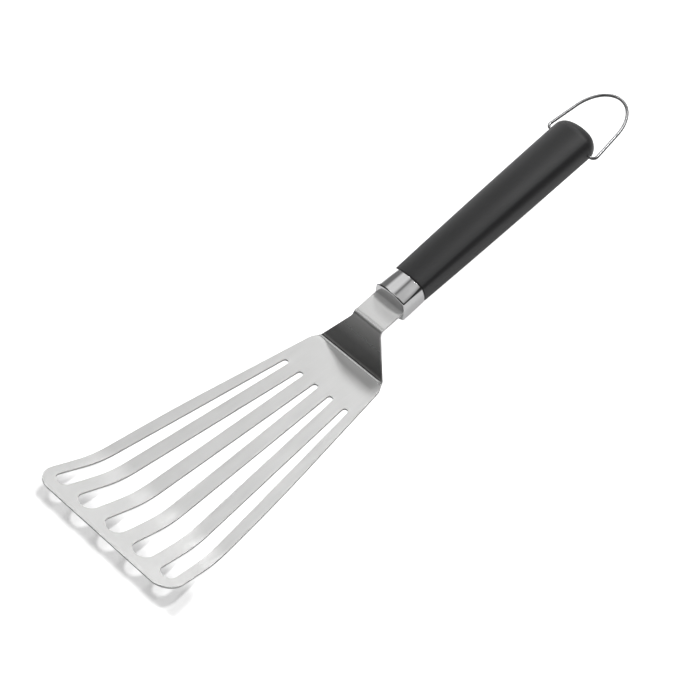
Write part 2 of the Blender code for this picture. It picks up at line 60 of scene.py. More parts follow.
STRIP_LENGTH = 0.0188
HANDLE_ANGLE = radians(8.7)
FRONT_HALF_WIDTH = 0.0631
WAIST_HALF_WIDTH = 0.0499
WAIST_FROM_HEEL = 0.1124
HEEL_HALF_WIDTH = 0.0317
HEEL_CORNER_AHEAD = 0.0059
FRONT_CORNER_RADIUS = 0.0135
WAIST_RADIUS = 1.5
HEEL_CORNER_RADIUS = 0.012
STRIP_HALF_WIDTH = 0.0125
SHOULDER_CORNER_BEHIND = 0.0266
SHOULDER_CORNER_RADIUS = 0.008
EDGE_GRIND_WIDTH = 0.0022
EDGE_GRIND_DEPTH = 0.0005
SLOT_REAR_FROM_HEEL = 0.0325
SLOT_FRONT_FROM_EDGE = 0.015
SLOT_REAR_RADIUS = 0.0021
SLOT_REAR_PITCH = 0.01385
SLOT_FRONT_X = (0.0, 0.0253, 0.0484)
SLOT_FRONT_RADII = (0.0073, 0.0074, 0.0056)
TANG_NECK = 0.0012
TANG_HALF_WIDTH = 0.0068
TANG_LENGTH = 0.105
TANG_NECK_RADIUS = 0.001
TANG_END_RADIUS = 0.0025
EDGE_BREAK = 0.00016  # the sheet's stamped edges are a little rounded
EDGE_BREAK_STEPS = 2
EDGE_BREAK_ANGLE = radians(60)
SLOT_END_STEPS = 22
KNEE_STEPS = 40
BEND_STEPS = 20

# Ferrule
FERRULE_HALF_WIDTH = 0.0135
FERRULE_HALF_HEIGHT = 0.0105
FERRULE_CORNER_RADIUS = 0.0015
FERRULE_LENGTH = 0.0184
FERRULE_WALL = 0.0012
FERRULE_FACE_WALL = 0.0016
FERRULE_LEAN = radians(10.0)
FERRULE_REAR_CORNER_RADIUS = 0.0036  # it runs over into the grip's corner
FERRULE_FACE_CORNER_RADIUS = 0.0045
FERRULE_RIM_RADIUS = 0.0014
FERRULE_REAR_RIM_RADIUS = 0.0001
FERRULE_RIM_STEPS = 10
FERRULE_STEPS = 12
FERRULE_LEAN_ROOM = 0.004  # keeps the hollow behind the leaning face
SIDE_CROWN = radians(15.0)
TOP_CROWN = radians(24.0)
LEAST_CORNER_RADIUS = 0.0005
GAP = 0.0003
SIDE_STEPS = 8
CORNER_STEPS = 10
TOP_STEPS = 12
RIM_STEPS = 5

# Grip
GRIP_LENGTH = 0.1619
GRIP_FRONT_CORNER_RADIUS = 0.0036
GRIP_MIDDLE_SHARE = 0.5
GRIP_MIDDLE_HALF_WIDTH = 0.0153
GRIP_MIDDLE_HALF_HEIGHT = 0.0117
GRIP_MIDDLE_CORNER_RADIUS = 0.0068
BUTT_HALF_WIDTH = 0.0164
BUTT_HALF_HEIGHT = 0.0114
BUTT_CORNER_RADIUS = 0.0076
BUTT_DOME = 0.010
DOME_END = radians(84)
DOME_POWER = 0.8
GRIP_WALL = 0.0024
GRIP_RIM_RADIUS = 0.0009
GRIP_MOUTH_DEPTH = 0.006
GRIP_STEPS = 60
DOME_STEPS = 24
GRIP_START = FERRULE_LENGTH + GAP
GRIP_END = GRIP_START + GRIP_LENGTH

# Bail
BAIL_WIRE_RADIUS = 0.0011
BAIL_FROM_BUTT = 0.0121
BAIL_STATION = GRIP_END - BAIL_FROM_BUTT
BAIL_BELOW_AXIS = 0.0003
BAIL_REACH = 0.048
BAIL_SIDE_GAP = 0.004
BAIL_BOW_HALF_WIDTH = 0.0188
BAIL_BOW_RISE = 0.0277
BAIL_CORNER_RADIUS = 0.003
BAIL_FOOT_DEPTH = 0.0045  # into the core
BAIL_FOOT_INSET = GRIP_WALL + GAP + BAIL_FOOT_DEPTH
BAIL_DROOP = radians(0.6)
BAIL_BOW_STEPS = 60
BAIL_WIRE_STEPS = 8

# Meshing
WELD = 1e-6
SHARP_ANGLE = radians(40)
ARC_STEP = radians(5)
LEAST_ARC_STEPS = 4
LEAST_TURN = radians(0.1)

# Camera, fitted to the photograph
CAMERA_AZIMUTH = radians(46.0923)
CAMERA_ELEVATION = radians(51.4956)
CAMERA_DISTANCE = 1.9316
CAMERA_AIM = Vector((-0.0038, 0.0024, 0.0047))  # from the heel
FOCAL_PIXELS = 3000.0
FRAME_PIXELS = 700.0
SENSOR_WIDTH = 36.0
FARTHEST_SEEN = 20.0


def make_camera():
    data = bpy.data.cameras.new("camera")
    data.sensor_width = SENSOR_WIDTH
    data.lens = SENSOR_WIDTH * FOCAL_PIXELS / FRAME_PIXELS
    data.clip_end = FARTHEST_SEEN
    camera = link(bpy.data.objects.new("camera", data))
    level = cos(CAMERA_ELEVATION)
    back = Vector((sin(CAMERA_AZIMUTH) * level, -cos(CAMERA_AZIMUTH) * level, sin(CAMERA_ELEVATION)))
    camera.rotation_euler = back.to_track_quat("Z", "Y").to_euler()
    camera.location = Vector((0, heel_y(), 0)) + CAMERA_AIM + back * CAMERA_DISTANCE
    bpy.context.scene.camera = camera


# Meshes


def link(item):
    bpy.context.scene.collection.objects.link(item)
    return item


def mesh_from(bm, name):
    bmesh.ops.recalc_face_normals(bm, faces=bm.faces)
    mesh = bpy.data.meshes.new(name)
    bm.to_mesh(mesh)
    bm.free()
    return mesh


def evaluated_mesh(item):
    depsgraph = bpy.context.evaluated_depsgraph_get()
    mesh = bpy.data.meshes.new_from_object(item.evaluated_get(depsgraph))
    bm = bmesh.new()
    bm.from_mesh(mesh)
    bmesh.ops.remove_doubles(bm, verts=bm.verts, dist=WELD)
    bmesh.ops.recalc_face_normals(bm, faces=bm.faces)
    bm.to_mesh(mesh)
    bm.free()
    return mesh


def skin(name, mesh, body, node, material):
    """A piece that stands for a CAD node, smooth, with its large faces keeping their own normals."""
    mesh.name = name
    mesh.materials.clear()
    mesh.materials.append(material)
    mesh.shade_smooth()
    mesh.set_sharp_from_angle(angle=SHARP_ANGLE)
    item = link(bpy.data.objects.new(name, mesh))
    weighted = item.modifiers.new("weighted_normals", "WEIGHTED_NORMAL")
    weighted.keep_sharp = True
    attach(item, body)
    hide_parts(node)


def arc_through(before, corner, after, radius):
    """Start, centre and swing of the arc that rounds a corner, or None where nothing is to round."""
    to_before = (before - corner).normalized()
    to_after = (after - corner).normalized()
    turn = pi - to_before.angle(to_after)
    if radius <= 0 or turn < LEAST_TURN:
        return None
    start = corner + to_before * (radius * tan(turn / 2))
    centre = corner + (to_before + to_after).normalized() * (radius / cos(turn / 2))
    swing = turn if to_before.cross(to_after) < 0 else -turn
    return start, centre, swing


def arc_points(start, centre, swing, steps):
    return [centre + Matrix.Rotation(swing * k / steps, 2) @ (start - centre) for k in range(steps + 1)]


def rounded(corners):
    """Points of a closed outline from (x, y, radius) corners."""
    points = []
    for i, (x, y, radius) in enumerate(corners):
        corner = Vector((x, y))
        before = Vector(corners[i - 1][:2])
        after = Vector(corners[(i + 1) % len(corners)][:2])
        arc = arc_through(before, corner, after, radius)
        if arc:
            steps = max(LEAST_ARC_STEPS, ceil(abs(arc[2]) / ARC_STEP))
            points += arc_points(*arc, steps)
        else:
            points.append(corner)
    return points


# Blade


def tapered_slot(rear, rear_radius, front, front_radius):
    """Outline of a slot with two round ends and straight sides that touch them."""
    along = Vector(front) - Vector(rear)
    heading = atan2(along.y, along.x)
    lean = asin((front_radius - rear_radius) / along.length)
    ends = (
        (front, front_radius, heading, pi / 2 + lean),
        (rear, rear_radius, heading + pi, pi / 2 - lean),
    )
    points = []
    for centre, radius, middle, half in ends:
        for k in range(SLOT_END_STEPS + 1):
            angle = middle - half + 2 * half * k / SLOT_END_STEPS
            points.append(Vector(centre) + radius * Vector((cos(angle), sin(angle))))
    return points


def slot_outlines(front_edge):
    outlines = []
    for i, (front_x, front_radius) in enumerate(zip(SLOT_FRONT_X, SLOT_FRONT_RADII)):
        for side in (1, -1) if i else (1,):
            rear = (side * i * SLOT_REAR_PITCH, -SLOT_REAR_FROM_HEEL)
            front = (side * front_x, front_edge + SLOT_FRONT_FROM_EDGE)
            outlines.append(tapered_slot(rear, SLOT_REAR_RADIUS, front, front_radius))
    return outlines


def blade_outline(front, face, end):
    neck = face + TANG_NECK
    right = [
        (FRONT_HALF_WIDTH, front, FRONT_CORNER_RADIUS),
        (WAIST_HALF_WIDTH, -WAIST_FROM_HEEL, WAIST_RADIUS),
        (HEEL_HALF_WIDTH, -HEEL_CORNER_AHEAD, HEEL_CORNER_RADIUS),
        (STRIP_HALF_WIDTH, SHOULDER_CORNER_BEHIND, SHOULDER_CORNER_RADIUS),
        (STRIP_HALF_WIDTH, neck, 0.0),
        (TANG_HALF_WIDTH, neck, TANG_NECK_RADIUS),
        (TANG_HALF_WIDTH, end, TANG_END_RADIUS),
    ]
    left = [(-x, y, radius) for x, y, radius in reversed(right)]
    return rounded(right + left)


def plate(name, outlines, thickness):
    curve = bpy.data.curves.new(name, "CURVE")
    curve.dimensions = "2D"
    curve.fill_mode = "BOTH"
    curve.extrude = thickness / 2
    for outline in outlines:
        spline = curve.splines.new("POLY")
        spline.points.add(len(outline) - 1)
        for point, place in zip(spline.points, outline):
            point.co = (place.x, place.y, 0.0, 1.0)
        spline.use_cyclic_u = True
    drawn = link(bpy.data.objects.new(name, curve))
    mesh = evaluated_mesh(drawn)
    bpy.data.objects.remove(drawn, do_unlink=True)
    return mesh


def profile_corners():
    """Corners of the sheet's middle line before its bends are rounded, as (y, z) from the heel."""
    front = Vector((-cos(LIP_ANGLE), sin(LIP_ANGLE))) * LIP_LENGTH
    up = Vector((cos(RISER_ANGLE), sin(RISER_ANGLE))) * RISER_LENGTH
    back = Vector((cos(HANDLE_ANGLE), sin(HANDLE_ANGLE)))
    knee = Vector((-FLAT_LENGTH, 0.0))
    face = up + back * STRIP_LENGTH
    return {
        "front": knee + front,
        "knee": knee,
        "heel": Vector((0.0, 0.0)),
        "shoulder": up,
        "face": face,
        "end": face + back * TANG_LENGTH,
    }


def heel_y():
    """Where the heel's corner lies in the model's frame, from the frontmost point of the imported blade."""
    front_edge = profile_corners()["front"].x - SHEET / 2 * sin(LIP_ANGLE)
    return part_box("blade")[0][1] - front_edge


def bend_stations():
    """Points along the bent middle line: distance from the heel along the sheet, (y, z) and normal."""
    corners = profile_corners()
    path = [corners["front"]]
    bends = (
        ("front", "knee", "heel", LIP_RADIUS, KNEE_STEPS),
        ("knee", "heel", "shoulder", BEND_RADIUS, BEND_STEPS),
        ("heel", "shoulder", "end", BEND_RADIUS, BEND_STEPS),
    )
    for before, corner, after, radius, steps in bends:
        arc = arc_through(corners[before], corners[corner], corners[after], radius)
        path += arc_points(*arc, steps)
    path.append(corners["end"])
    along = [0.0]
    for one, other in zip(path, path[1:]):
        along.append(along[-1] + (other - one).length)
    heel_start = 1 + KNEE_STEPS + 1
    heel = (along[heel_start] + along[heel_start + BEND_STEPS]) / 2
    stations = []
    for i, point in enumerate(path):
        into = (point - path[i - 1]).normalized() if i else (path[1] - point).normalized()
        out_of = (path[i + 1] - point).normalized() if i < len(path) - 1 else into
        mean = (into + out_of).normalized()
        stations.append((along[i] - heel, point, Vector((-mean.y, mean.x)) / mean.dot(into)))
    return stations


def slice_across(bm, distance):
    everything = [*bm.verts, *bm.edges, *bm.faces]
    bmesh.ops.bisect_plane(bm, geom=everything, dist=WELD, plane_co=(0, distance, 0), plane_no=(0, 1, 0))


def blade_mesh():
    """The flat blank with its slots, sliced across and then bent along the stations."""
    stations = bend_stations()
    front, end = stations[0][0], stations[-1][0]
    face = end - TANG_LENGTH
    flat = plate("blade_blank", [blade_outline(front, face, end), *slot_outlines(front)], SHEET)
    blank = link(bpy.data.objects.new("blade_blank", flat))
    bevel = blank.modifiers.new("edge_break", "BEVEL")
    bevel.width = EDGE_BREAK
    bevel.segments = EDGE_BREAK_STEPS
    bevel.limit_method = "ANGLE"
    bevel.angle_limit = EDGE_BREAK_ANGLE
    mesh = evaluated_mesh(blank)
    bpy.data.objects.remove(blank, do_unlink=True)
    bm = bmesh.new()
    bm.from_mesh(mesh)
    slice_across(bm, front + EDGE_GRIND_WIDTH)
    for distance, _, _ in stations[1:-1]:
        slice_across(bm, distance)
    for vertex in bm.verts:
        distance, height = vertex.co.y, vertex.co.z
        ahead = front + EDGE_GRIND_WIDTH - distance
        if ahead > 0 and height > 0:
            height -= EDGE_GRIND_DEPTH * ahead / EDGE_GRIND_WIDTH * height / (SHEET / 2)
        i = 0
        while i < len(stations) - 2 and distance > stations[i + 1][0]:
            i += 1
        start, start_point, start_normal = stations[i]
        stop, stop_point, stop_normal = stations[i + 1]
        share = (distance - start) / (stop - start)
        point = start_point.lerp(stop_point, share) + height * start_normal.lerp(stop_normal, share)
        vertex.co = (vertex.co.x, point.x, point.y)
    bm.transform(Matrix.Translation((0, heel_y(), SHEET / 2)))
    bm.to_mesh(mesh)
    bm.free()
    return mesh


# Handle: lofts along its line, x across, y along from the ferrule's face, z up from the tang


def handle_frame():
    face = profile_corners()["face"]
    place = Matrix.Translation((0, face.x + heel_y(), face.y + SHEET / 2))
    return place @ Matrix.Rotation(HANDLE_ANGLE, 4, "X")


def crowned_section(half_width, half_height, corner_radius):
    """A closed section with slightly arched sides, a more arched top and bottom, and round corners."""
    side, top = tan(SIDE_CROWN / 2), tan(TOP_CROWN / 2)
    across, up = half_width - corner_radius, half_height - corner_radius
    corner_z = (up - across * top) / (1 - side * top)
    corner_x = across - corner_z * side
    side_radius = corner_z / sin(SIDE_CROWN) + corner_radius
    top_radius = corner_x / sin(TOP_CROWN) + corner_radius
    quarter = []
    for k in range(SIDE_STEPS):
        angle = SIDE_CROWN * k / SIDE_STEPS
        quarter.append((half_width - side_radius * (1 - cos(angle)), side_radius * sin(angle)))
    swing = pi / 2 - TOP_CROWN - SIDE_CROWN
    for k in range(CORNER_STEPS):
        angle = SIDE_CROWN + swing * k / CORNER_STEPS
        quarter.append((corner_x + corner_radius * cos(angle), corner_z + corner_radius * sin(angle)))
    for k in range(TOP_STEPS + 1):
        angle = TOP_CROWN * (1 - k / TOP_STEPS)
        quarter.append((top_radius * sin(angle), half_height - top_radius * (1 - cos(angle))))
    upper = quarter + [(-x, z) for x, z in reversed(quarter[:-1])]
    return upper + [(x, -z) for x, z in reversed(upper[1:-1])]


def loft(name, rings, lean_until=None):
    """A closed mesh through (y, section) rings; rings before lean_until lean with the ferrule's face."""
    bm = bmesh.new()
    before = first = None
    for y, section in rings:
        lean = 0.0
        if lean_until:
            lean = tan(FERRULE_LEAN) * max(0.0, 1 - y / lean_until)
        ring = [bm.verts.new((x, y + z * lean, z)) for x, z in section]
        if before is None:
            first = ring
        else:
            for k in range(len(ring)):
                bm.faces.new((before[k - 1], before[k], ring[k], ring[k - 1]))
        before = ring
    bm.faces.new(first)
    bm.faces.new(before)
    bm.transform(handle_frame())
    return mesh_from(bm, name)


def rim(radius, steps=RIM_STEPS):
    """Distance from the end and inset of the rings of a rounded rim."""
    angles = [pi / 2 * k / steps for k in range(steps + 1)]
    return [(radius * (1 - cos(angle)), radius * (1 - sin(angle))) for angle in angles]


def ferrule_section(inset, radius):
    return crowned_section(FERRULE_HALF_WIDTH - inset, FERRULE_HALF_HEIGHT - inset, radius)


def ferrule_mesh():
    """The hollow collar: its corner is round at the face, crisp behind it and rounder again at the grip."""
    rings = []
    for y, inset in rim(FERRULE_RIM_RADIUS, FERRULE_RIM_STEPS):
        share = inset / FERRULE_RIM_RADIUS
        radius = FERRULE_CORNER_RADIUS + (FERRULE_FACE_CORNER_RADIUS - FERRULE_CORNER_RADIUS) * share
        rings.append((y, ferrule_section(inset, radius)))
    start, stop = FERRULE_RIM_RADIUS, FERRULE_LENGTH - FERRULE_REAR_RIM_RADIUS
    for k in range(1, FERRULE_STEPS):
        share = k / FERRULE_STEPS
        radius = FERRULE_CORNER_RADIUS + (FERRULE_REAR_CORNER_RADIUS - FERRULE_CORNER_RADIUS) * share ** 2
        rings.append((start + (stop - start) * share, ferrule_section(0.0, radius)))
    for y, inset in reversed(rim(FERRULE_REAR_RIM_RADIUS)):
        rings.append((FERRULE_LENGTH - y, ferrule_section(inset, FERRULE_REAR_CORNER_RADIUS - inset)))
    inside = ferrule_section(FERRULE_WALL, LEAST_CORNER_RADIUS)
    rings += [(FERRULE_LENGTH, inside), (FERRULE_FACE_WALL + FERRULE_LEAN_ROOM, inside)]
    return loft("ferrule_skin", rings, lean_until=FERRULE_LENGTH / 2)


def grip_size(station):
    """Half width, half height and corner radius at a station: the quadratic through three sizes."""
    front = (FERRULE_HALF_WIDTH, FERRULE_HALF_HEIGHT, GRIP_FRONT_CORNER_RADIUS)
    middle = (GRIP_MIDDLE_HALF_WIDTH, GRIP_MIDDLE_HALF_HEIGHT, GRIP_MIDDLE_CORNER_RADIUS)
    butt = (BUTT_HALF_WIDTH, BUTT_HALF_HEIGHT, BUTT_CORNER_RADIUS)
    share = (station - GRIP_START) / (GRIP_LENGTH - BUTT_DOME)
    mid = GRIP_MIDDLE_SHARE
    weights = (
        (share - mid) * (share - 1) / mid,
        share * (1 - share) / (mid * (1 - mid)),
        share * (share - mid) / (1 - mid),
    )
    sizes = zip(front, middle, butt)
    return [sum(weight * size for weight, size in zip(weights, triple)) for triple in sizes]


def grip_section(station, inset=0.0, share=1.0):
    half_width, half_height, radius = grip_size(station)
    sizes = (half_width - inset, half_height - inset, max(radius - inset, LEAST_CORNER_RADIUS))
    return crowned_section(*(size * share for size in sizes))


def grip_mesh():
    rings = [(GRIP_START + GRIP_MOUTH_DEPTH, grip_section(GRIP_START, GRIP_WALL))]
    rings.append((GRIP_START, grip_section(GRIP_START, GRIP_WALL)))
    for y, inset in rim(GRIP_RIM_RADIUS)[:-1]:
        rings.append((GRIP_START + y, grip_section(GRIP_START, inset)))
    first, last = GRIP_START + GRIP_RIM_RADIUS, GRIP_END - BUTT_DOME
    for k in range(GRIP_STEPS + 1):
        y = first + (last - first) * k / GRIP_STEPS
        rings.append((y, grip_section(y)))
    for k in range(1, DOME_STEPS + 1):
        angle = DOME_END * k / DOME_STEPS
        share = cos(angle) ** DOME_POWER
        rings.append((last + BUTT_DOME * sin(angle), grip_section(last, 0.0, share)))
    return loft("grip_skin", rings)


# Bail


def bail_mesh():
    """The wire: two feet, two rounded corners, two legs and the bow's half ellipse that they touch."""
    half_width = grip_size(BAIL_STATION)[0]
    foot = half_width - BAIL_FOOT_INSET
    corner_x = half_width + BAIL_SIDE_GAP + BAIL_WIRE_RADIUS
    bow_y = BAIL_REACH - BAIL_BOW_RISE
    across, along = corner_x / BAIL_BOW_HALF_WIDTH, bow_y / BAIL_BOW_RISE
    touch = acos(1 / hypot(across, along)) - atan2(along, across)
    bow = []
    for k in range(BAIL_BOW_STEPS + 1):
        angle = touch + (pi - 2 * touch) * k / BAIL_BOW_STEPS
        x, y = BAIL_BOW_HALF_WIDTH * cos(angle), bow_y + BAIL_BOW_RISE * sin(angle)
        bow.append((x, y, 0.0))
    right = [(foot, 0.0, 0.0), (corner_x, 0.0, BAIL_CORNER_RADIUS)]
    left = [(-x, y, radius) for x, y, radius in reversed(right)]
    path = rounded(right + bow + left)
    curve = bpy.data.curves.new("bail_wire", "CURVE")
    curve.dimensions = "3D"
    curve.bevel_depth = BAIL_WIRE_RADIUS
    curve.bevel_resolution = BAIL_WIRE_STEPS
    curve.use_fill_caps = True
    spline = curve.splines.new("POLY")
    spline.points.add(len(path) - 1)
    for point, place in zip(spline.points, path):
        point.co = (place.x, place.y, 0.0, 1.0)
    drawn = link(bpy.data.objects.new("bail_wire", curve))
    mesh = evaluated_mesh(drawn)
    bpy.data.objects.remove(drawn, do_unlink=True)
    hinge = Matrix.Translation((0, BAIL_STATION, -BAIL_BELOW_AXIS))
    mesh.transform(handle_frame() @ hinge @ Matrix.Rotation(-BAIL_DROOP, 4, "X"))
    return mesh


# Materials

# Colour and roughness, then the grain, and for the blacks their shine and bloom
STEEL = ((0.63, 0.63, 0.625), 0.49, 0.08)
PIN_STEEL = ((0.55, 0.55, 0.56), 0.35, 0.1)
CHROME = ((0.90, 0.90, 0.905), 0.07)
WIRE = ((0.36, 0.36, 0.365), 0.34)
RUBBER = ((0.016, 0.016, 0.017), 0.5, 0.25, 0.34, 0.45)
PLASTIC = ((0.04, 0.04, 0.042), 0.5, 0.1, 0.5)

# The blade's finish and painted shade along Y: y from the heel, share of the roughness, stretch of the
# highlight, painted shade.
# The flat is ground, the foot of the riser burnished, the shoulder glossy and the strip dull.
# The painted shade darkens the riser's colour, most at its foot, and paints the shoulder and strip lighter.
BLADE_FINISH_AND_PAINTED_SHADE = (
    (-0.0040, 1.0, 0.69, 1.0),
    (-0.0008, 0.4, 0.0, 1.0),
    (0.0012, 0.4, 0.0, 0.28),
    (0.0050, 0.4, 0.0, 0.3),
    (0.0125, 0.75, 0.0, 0.8),
    (0.0151, 0.8, 0.0, 1.15),
    (0.0156, 0.4, 0.0, 1.15),
    (0.0164, 0.4, 0.0, 1.15),
    (0.0178, 1.0, 0.0, 1.13),
)

# Noise: scale per metre, share of it along Y, detail and roughness
FINE_LINES = (2600.0, 0.02, 2.0, 0.5)
COARSE_LINES = (700.0, 0.05, 3.0, 0.5)
CLOUDS = (22.0, 1.0, 3.0, 0.55)
SMEARS = (160.0, 0.4, 4.0, 0.6)
PITS = (1500.0, 1.0, 2.0, 0.5)
PEBBLE = (2400.0, 1.0, 2.0, 0.6)
BLOOM_PATCHES = (45.0, 0.5, 4.0, 0.6)

# Bump depths in metres, bump strengths, and the shares between which gloss and tint wander
FINE_DEPTH = 0.00002
COARSE_DEPTH = 0.00004
PEBBLE_DEPTH = 0.00005
PIT_BUMP = 0.05
COARSE_SHARE = 0.5
EVEN_GLOSS = (0.93, 1.07)
SMEARED_GLOSS = (0.7, 1.4)
STEEL_TINT = (0.965, 1.03)
CHROME_TINT = (0.96, 1.0)
BLACK_TINT = (0.85, 1.18)


class Nodes:
    """A material's node tree, with short calls to add and join nodes."""

    def __init__(self, name):
        self.material = bpy.data.materials.new(name)
        self.material.use_nodes = True
        self.tree = self.material.node_tree
        self.shader = self.tree.nodes["Principled BSDF"]

    def add(self, kind, **values):
        node = self.tree.nodes.new(kind)
        for key, value in values.items():
            if key in node.inputs:
                node.inputs[key].default_value = value
            else:
                setattr(node, key, value)
        return node

    def join(self, source, target):
        self.tree.links.new(source, target)

    def noise(self, scale, along, detail, roughness):
        place = self.add("ShaderNodeTexCoord")
        mapping = self.add("ShaderNodeMapping", Scale=(1.0, along, 1.0))
        node = self.add("ShaderNodeTexNoise", Scale=scale, Detail=detail, Roughness=roughness)
        self.join(place.outputs["Object"], mapping.inputs["Vector"])
        self.join(mapping.outputs["Vector"], node.inputs["Vector"])
        return node.outputs["Fac"]

    def spread(self, value, low, high, from_low=0.3, from_high=0.7):
        """The value spread from low to high; noise lies mostly between 0.3 and 0.7."""
        node = self.add("ShaderNodeMapRange")
        node.inputs["From Min"].default_value = from_low
        node.inputs["From Max"].default_value = from_high
        node.inputs["To Min"].default_value = low
        node.inputs["To Max"].default_value = high
        self.join(value, node.inputs["Value"])
        return node.outputs["Result"]

    def tint(self, value, colour, shares):
        """A colour that wanders between two shares of itself."""
        node = self.add("ShaderNodeMix", data_type="RGBA")
        for name, share in zip("AB", shares):
            node.inputs[name].default_value = (*(min(1.0, c * share) for c in colour), 1)
        self.join(self.spread(value, 0.0, 1.0), node.inputs["Factor"])
        return node.outputs["Result"]

    def profile(self, stops):
        """A value that follows stops of (y from the heel, value) along Y."""
        place = self.add("ShaderNodeTexCoord")
        split = self.add("ShaderNodeSeparateXYZ")
        self.join(place.outputs["Object"], split.inputs["Vector"])
        first, last = stops[0][0], stops[-1][0]
        heel = heel_y()
        share = self.spread(split.outputs["Y"], 0.0, 1.0, heel + first, heel + last)
        node = self.add("ShaderNodeValToRGB")
        elements = node.color_ramp.elements
        for y, _ in stops[1:-1]:
            elements.new((y - first) / (last - first))
        for element, (_, value) in zip(elements, stops):
            element.color = (value, value, value, 1)
        self.join(share, node.inputs["Fac"])
        return node.outputs["Color"]

    def bump(self, value, strength, distance, before=None):
        node = self.add("ShaderNodeBump", Strength=strength, Distance=distance)
        self.join(value, node.inputs["Height"])
        if before:
            self.join(before, node.inputs["Normal"])
        return node.outputs["Normal"]


def brushed_metal(name, colour, roughness, grain, along=None):
    """Satin metal with fine lines along Y, faint cloudy stains and broken gloss.

    along gives stops of (y from the heel, share of the roughness, stretch of the highlight, painted shade);
    the painted shade multiplies the colour.
    """
    nodes = Nodes(name)
    lines = nodes.noise(*FINE_LINES)
    coarse = nodes.noise(*COARSE_LINES)
    clouds = nodes.noise(*CLOUDS)
    tint = nodes.tint(clouds, colour, STEEL_TINT)
    gloss = nodes.spread(coarse, *(roughness * share for share in EVEN_GLOSS))
    if along:
        rough, stretch, shade = (nodes.profile([(stop[0], stop[k]) for stop in along]) for k in (1, 2, 3))
        product = nodes.add("ShaderNodeMath", operation="MULTIPLY")
        nodes.join(gloss, product.inputs[0])
        nodes.join(rough, product.inputs[1])
        gloss = product.outputs["Value"]
        nodes.join(stretch, nodes.shader.inputs["Anisotropic"])
        # Painted shade and light: the colour times the shade stops, darker on the riser and lighter on the
        # shoulder and strip.
        shaded = nodes.add("ShaderNodeMix", data_type="RGBA", blend_type="MULTIPLY")
        shaded.inputs["Factor"].default_value = 1.0
        nodes.join(tint, shaded.inputs["A"])
        nodes.join(shade, shaded.inputs["B"])
        tint = shaded.outputs["Result"]
        tangent = nodes.add("ShaderNodeCombineXYZ", Y=1.0)
        nodes.join(tangent.outputs["Vector"], nodes.shader.inputs["Tangent"])
    nodes.join(tint, nodes.shader.inputs["Base Color"])
    nodes.join(gloss, nodes.shader.inputs["Roughness"])
    normal = nodes.bump(lines, grain, FINE_DEPTH)
    normal = nodes.bump(coarse, grain * COARSE_SHARE, COARSE_DEPTH, normal)
    nodes.join(normal, nodes.shader.inputs["Normal"])
    nodes.shader.inputs["Metallic"].default_value = 1.0
    return nodes.material


def polished_metal(name, colour, roughness):
    """Bright metal with faint smears along Y and tiny pits."""
    nodes = Nodes(name)
    smears = nodes.noise(*SMEARS)
    pits = nodes.noise(*PITS)
    gloss = nodes.spread(smears, *(roughness * share for share in SMEARED_GLOSS))
    nodes.join(nodes.tint(smears, colour, CHROME_TINT), nodes.shader.inputs["Base Color"])
    nodes.join(gloss, nodes.shader.inputs["Roughness"])
    nodes.join(nodes.bump(pits, PIT_BUMP, FINE_DEPTH), nodes.shader.inputs["Normal"])
    nodes.shader.inputs["Metallic"].default_value = 1.0
    return nodes.material


def soft_black(name, colour, roughness, grain, shine, bloom=0.0):
    """Moulded black skin: a fine pebble, a faint dusty bloom and uneven gloss."""
    nodes = Nodes(name)
    pebble = nodes.noise(*PEBBLE)
    patches = nodes.noise(*BLOOM_PATCHES)
    gloss = nodes.spread(patches, *(roughness * share for share in EVEN_GLOSS))
    nodes.join(nodes.tint(patches, colour, BLACK_TINT), nodes.shader.inputs["Base Color"])
    nodes.join(gloss, nodes.shader.inputs["Roughness"])
    nodes.join(nodes.bump(pebble, grain, PEBBLE_DEPTH), nodes.shader.inputs["Normal"])
    nodes.shader.inputs["Specular IOR Level"].default_value = shine
    nodes.shader.inputs["Sheen Weight"].default_value = bloom
    return nodes.material


# Floor, light and world

FLOOR_COLOUR = 0.80
FLOOR_GLOW_AT_BLADE = 0.41
FLOOR_GLOW_AROUND = 0.90
FLOOR_GLOW_IN_REFLECTIONS = 0.02
FLOOR_HALF_SIZE = 6.0
FLOOR_BELOW = 0.00005  # keeps the floor just under the blade
# The lip's shadow shows where the floor's own glow is low: along Y from the blade's front edge, and across
SHADOW_FRONT = 0.0015
SHADOW_REAR = 0.012
SHADOW_FADE = 0.007
SHADOW_REAR_FADE = 0.020
SHADOW_HALF_WIDTH = 0.064
SHADOW_SIDE_FADE = 0.012

# Lamps: azimuth from +X towards +Y, elevation and size in degrees, strength
LAMPS = (
    ("high_back", 82, 65, 10, 1.45),
    ("low_back_left", 121, 39, 11, 0.57),
)
DOME = 0.02
# Soft bright parts of the studio: azimuth, elevation, reach and soft edge in degrees, strength
PATCHES = (
    (153, 10, 13, 12, 2.2),
    (179, 10, 13, 12, 2.2),
    (153, 34, 13, 12, 0.15),
    (161, 58, 13, 12, 0.66),
    (200, 78, 13, 12, 0.1),
    (65, 80, 13, 12, 0.45),
    (300, 75, 16, 14, 0.05),
    (240, 52, 13, 12, 0.85),
    (203, 58, 5, 6, 1.6),
    (20, 8, 14, 12, 0.1),
)


def direction(azimuth, elevation):
    turn, rise = radians(azimuth), radians(elevation)
    return Vector((cos(rise) * cos(turn), cos(rise) * sin(turn), sin(rise)))


def make_lamps():
    for name, azimuth, elevation, size, strength in LAMPS:
        lamp = bpy.data.lights.new(name, "SUN")
        lamp.energy = strength
        lamp.angle = radians(size)
        item = link(bpy.data.objects.new(name, lamp))
        item.rotation_euler = direction(azimuth, elevation).to_track_quat("Z", "Y").to_euler()


def arithmetic(tree, operation, first, second=0.0):
    """A Math node on two inputs, each a socket or a number."""
    node = tree.nodes.new("ShaderNodeMath")
    node.operation = operation
    for value, socket in zip((first, second), node.inputs):
        if isinstance(value, (int, float)):
            socket.default_value = value
        else:
            tree.links.new(value, socket)
    return node.outputs[0]


